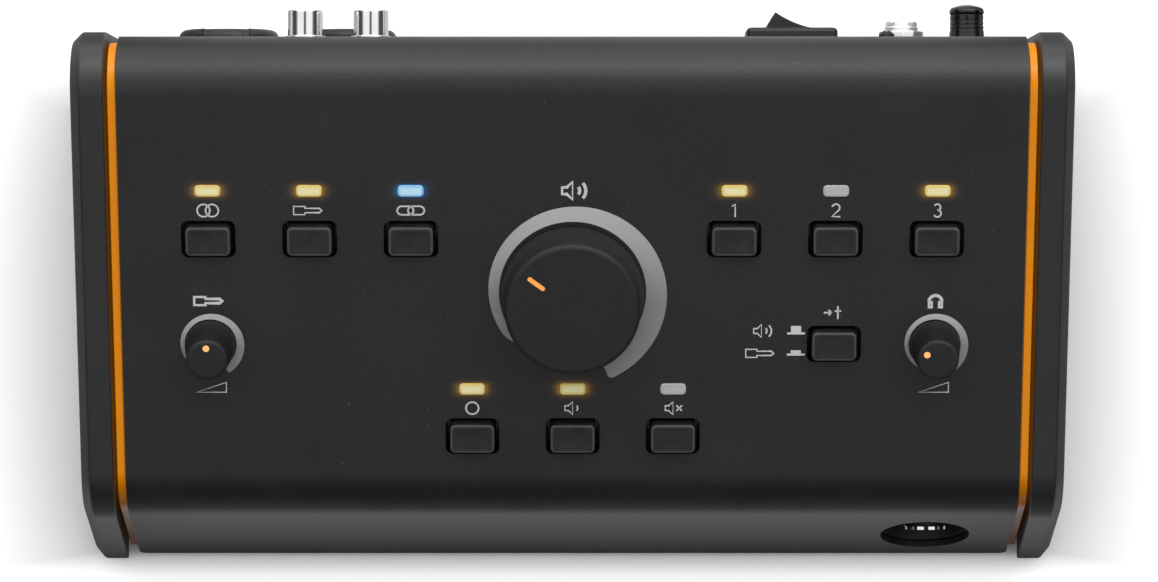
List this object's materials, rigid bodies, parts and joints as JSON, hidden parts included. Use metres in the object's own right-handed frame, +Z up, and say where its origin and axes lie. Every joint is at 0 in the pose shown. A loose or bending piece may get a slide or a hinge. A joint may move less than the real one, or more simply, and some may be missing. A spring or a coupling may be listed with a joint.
{
  "type": "studio monitor controller",
  "caption": "Desktop monitor controller: sloped steel case between side cheeks, with level dials, push buttons, lamps, a headphone socket in front and plug sockets behind.",
  "frame": {"origin": "middle of the footprint, on the surface that the feet stand on", "axes": "+X to the user's right along the case, +Y to the rear wall with the sockets, +Z up"},
  "size_m": [0.2326, 0.1336, 0.0737],
  "materials": {
    "cover_coat": "satin fine-textured powder coat",
    "cheek_coat": "satin, lightly textured",
    "inlay_gloss": "glossy orange",
    "knob_plastic": "satin black",
    "pointer_orange": "satin",
    "pointer_amber": "satin",
    "cap_plastic": "fine matt grain",
    "lens_warm": "lit milky lens",
    "lens_blue": "lit milky lens",
    "lens_grey": "unlit milky lens",
    "plain_steel": "plain",
    "bright_nickel": "bright plated",
    "socket_black": "semi-gloss black",
    "board_green": "solder-resist green",
    "foot_rubber": "matt",
    "panel_print": "screen print",
    "insulator_white": "semi-gloss",
    "insulator_red": "semi-gloss"
  },
  "bodies": {
    "case": {"top_shell": "cover_coat", "base_tray": "cover_coat", "side_inlay_left": "inlay_gloss", "side_inlay_right": "inlay_gloss", "side_cheek_left": "cheek_coat", "side_cheek_right": "cheek_coat", "foot_front_left": "foot_rubber", "foot_front_right": "foot_rubber", "foot_rear_left": "foot_rubber", "foot_rear_right": "foot_rubber", "main_board": "board_green", "rear_board": "board_green", "stereo_lamp": "lens_warm", "aux_lamp": "lens_warm", "pair_lamp": "lens_blue", "output_1_lamp": "lens_warm", "output_2_lamp": "lens_grey", "output_3_lamp": "lens_warm", "mono_lamp": "lens_warm", "dim_lamp": "lens_warm", "mute_lamp": "lens_grey", "main_pot": "plain_steel", "aux_pot": "plain_steel", "phones_pot": "plain_steel", "combo_jack_1": "socket_black", "combo_jack_2": "socket_black", "phono_jack_1": "bright_nickel", "phono_jack_2": "bright_nickel", "output_jack_1": "socket_black", "output_jack_2": "socket_black", "output_jack_3": "socket_black", "output_jack_4": "socket_black", "output_jack_5": "socket_black", "output_jack_6": "socket_black", "power_switch_frame": "socket_black", "dc_jack": "bright_nickel", "cable_post": "socket_black", "phones_cup": "socket_black", "phones_jack": "socket_black"},
    "main_dial": {"main_knob": "knob_plastic", "main_pointer": "pointer_orange", "main_shaft": "plain_steel"},
    "aux_dial": {"aux_knob": "knob_plastic", "aux_pointer": "pointer_amber", "aux_shaft": "plain_steel"},
    "phones_dial": {"phones_knob": "knob_plastic", "phones_pointer": "pointer_amber", "phones_shaft": "plain_steel"},
    "stereo_key": {"stereo_button": "cap_plastic"},
    "aux_key": {"aux_button": "cap_plastic"},
    "pair_key": {"pair_button": "cap_plastic"},
    "output_1_key": {"output_1_button": "cap_plastic"},
    "output_2_key": {"output_2_button": "cap_plastic"},
    "output_3_key": {"output_3_button": "cap_plastic"},
    "prefade_key": {"prefade_button": "cap_plastic"},
    "mono_key": {"mono_button": "cap_plastic"},
    "dim_key": {"dim_button": "cap_plastic"},
    "mute_key": {"mute_button": "cap_plastic"},
    "rocker": {"power_rocker": "socket_black"}
  },
  "joints": [
    {"name": "main_turn", "type": "hinge", "parent": "case", "child": "main_dial", "pos_m": [0, -0.00219, 0.057], "axis": [0, -0.2924, 0.9563], "range_deg": [-203, 97]},
    {"name": "aux_turn", "type": "hinge", "parent": "case", "child": "aux_dial", "pos_m": [-0.08482, -0.01396, 0.0534], "axis": [0, -0.2924, 0.9563], "range_deg": [-154, 146]},
    {"name": "phones_turn", "type": "hinge", "parent": "case", "child": "phones_dial", "pos_m": [0.08482, -0.01396, 0.0534], "axis": [0, -0.2924, 0.9563], "range_deg": [-213, 87]},
    {"name": "stereo_press", "type": "slide", "parent": "case", "child": "stereo_key", "axis": [0, 0.2924, -0.9563], "range_m": [0, 0.0018], "stiffness_N_per_m": 300, "springref_m": -0.001},
    {"name": "aux_press", "type": "slide", "parent": "case", "child": "aux_key", "axis": [0, 0.2924, -0.9563], "range_m": [0, 0.0018], "stiffness_N_per_m": 300, "springref_m": -0.001},
    {"name": "pair_press", "type": "slide", "parent": "case", "child": "pair_key", "axis": [0, 0.2924, -0.9563], "range_m": [0, 0.0018], "stiffness_N_per_m": 300, "springref_m": -0.001},
    {"name": "output_1_press", "type": "slide", "parent": "case", "child": "output_1_key", "axis": [0, 0.2924, -0.9563], "range_m": [0, 0.0018], "stiffness_N_per_m": 300, "springref_m": -0.001},
    {"name": "output_2_press", "type": "slide", "parent": "case", "child": "output_2_key", "axis": [0, 0.2924, -0.9563], "range_m": [0, 0.0018], "stiffness_N_per_m": 300, "springref_m": -0.001},
    {"name": "output_3_press", "type": "slide", "parent": "case", "child": "output_3_key", "axis": [0, 0.2924, -0.9563], "range_m": [0, 0.0018], "stiffness_N_per_m": 300, "springref_m": -0.001},
    {"name": "prefade_press", "type": "slide", "parent": "case", "child": "prefade_key", "axis": [0, 0.2924, -0.9563], "range_m": [0, 0.0018], "stiffness_N_per_m": 300, "springref_m": -0.001},
    {"name": "mono_press", "type": "slide", "parent": "case", "child": "mono_key", "axis": [0, 0.2924, -0.9563], "range_m": [0, 0.0018], "stiffness_N_per_m": 300, "springref_m": -0.001},
    {"name": "dim_press", "type": "slide", "parent": "case", "child": "dim_key", "axis": [0, 0.2924, -0.9563], "range_m": [0, 0.0018], "stiffness_N_per_m": 300, "springref_m": -0.001},
    {"name": "mute_press", "type": "slide", "parent": "case", "child": "mute_key", "axis": [0, 0.2924, -0.9563], "range_m": [0, 0.0018], "stiffness_N_per_m": 300, "springref_m": -0.001},
    {"name": "power_rock", "type": "hinge", "parent": "case", "child": "rocker", "pos_m": [0.05211, 0.05783, 0.0307], "axis": [0, 0, 1], "range_deg": [0, 40]}
  ]
}
